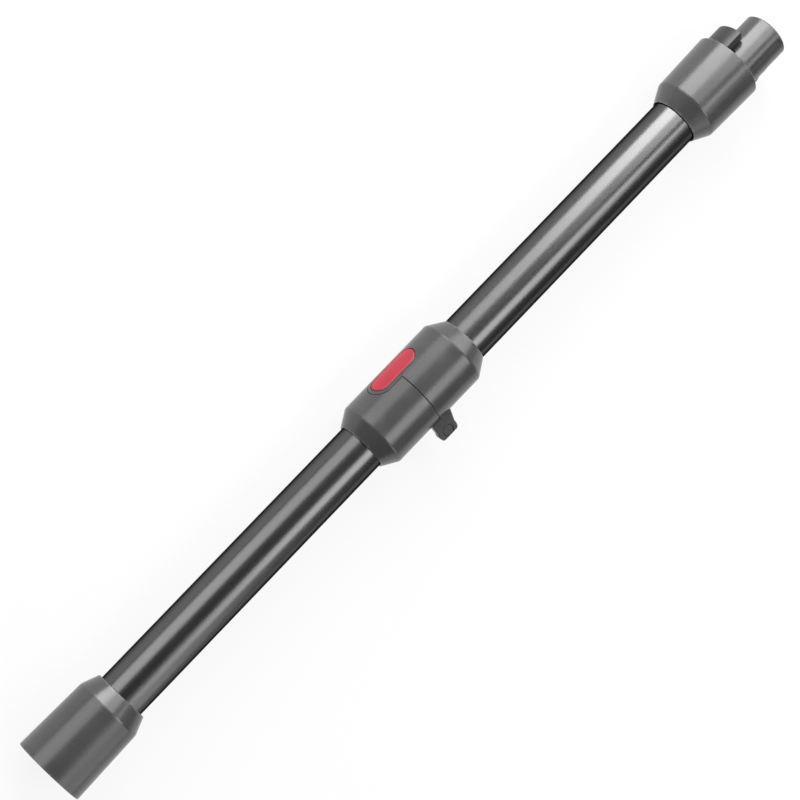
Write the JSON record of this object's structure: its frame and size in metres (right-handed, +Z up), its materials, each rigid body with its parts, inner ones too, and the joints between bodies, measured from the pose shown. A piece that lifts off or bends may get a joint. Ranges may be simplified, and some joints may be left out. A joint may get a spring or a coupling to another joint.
{
  "type": "folding vacuum wand",
  "caption": "Straight suction wand for a stick vacuum, with a cup for the head, a spigot for the machine and a latched fold joint halfway along.",
  "frame": {"origin": "centre of the floor rectangle under the wand as it lies, on the floor plane", "axes": "+X along the wand towards the cleaning head's socket, +Z up from the floor; the button faces -Y and the hinge +Y, leaning on one corner"},
  "size_m": [0.7318, 0.067, 0.0541],
  "materials": {
    "housing_plastic": "satin moulded grey",
    "tube_metal": "dark anodised, glossy",
    "button_red": "satin moulded red",
    "latch_plastic": "moulded black",
    "plug_plastic": "moulded black",
    "duct_plastic": "moulded black",
    "pin_steel": "turned steel",
    "contact_brass": "plated, bright",
    "seal_rubber": "matt black",
    "lead_cover": "black insulation"
  },
  "bodies": {
    "upper_section": {"upper_hinge_housing": "housing_plastic", "upper_tube": "tube_metal", "machine_collar": "housing_plastic", "machine_spigot": "housing_plastic", "connector_block": "plug_plastic", "connector_contacts": "contact_brass", "hinge_pin": "pin_steel", "hinge_pin_caps": "housing_plastic", "fold_latch_pin": "pin_steel", "fold_latch_spring": "pin_steel", "upper_joint_contacts": "contact_brass", "upper_wires": "lead_cover", "upper_wire_ducts": "duct_plastic"},
    "lower_section": {"lower_hinge_housing": "housing_plastic", "lower_tube": "tube_metal", "head_socket": "housing_plastic", "joint_seal": "seal_rubber", "lower_joint_contacts": "contact_brass", "head_socket_contacts": "contact_brass", "lower_wires": "lead_cover", "lower_wire_ducts": "duct_plastic"},
    "fold_latch": {"fold_button": "button_red", "fold_latch_lever": "latch_plastic"}
  },
  "joints": [
    {"name": "fold", "type": "hinge", "parent": "upper_section", "child": "lower_section", "pos_m": [0.00855, 0.02421, 0.01788], "axis": [0, 0.2864, 0.9581], "range_deg": [0, 180]},
    {"name": "button_press", "type": "hinge", "parent": "upper_section", "child": "fold_latch", "pos_m": [-0.00695, -0.02456, 0.03246], "axis": [0, 0.2864, 0.9581], "range_deg": [0, 2.3], "stiffness_Nm_per_rad": 2, "springref_deg": -2.29, "deforming": ["fold_latch_spring"]}
  ]
}
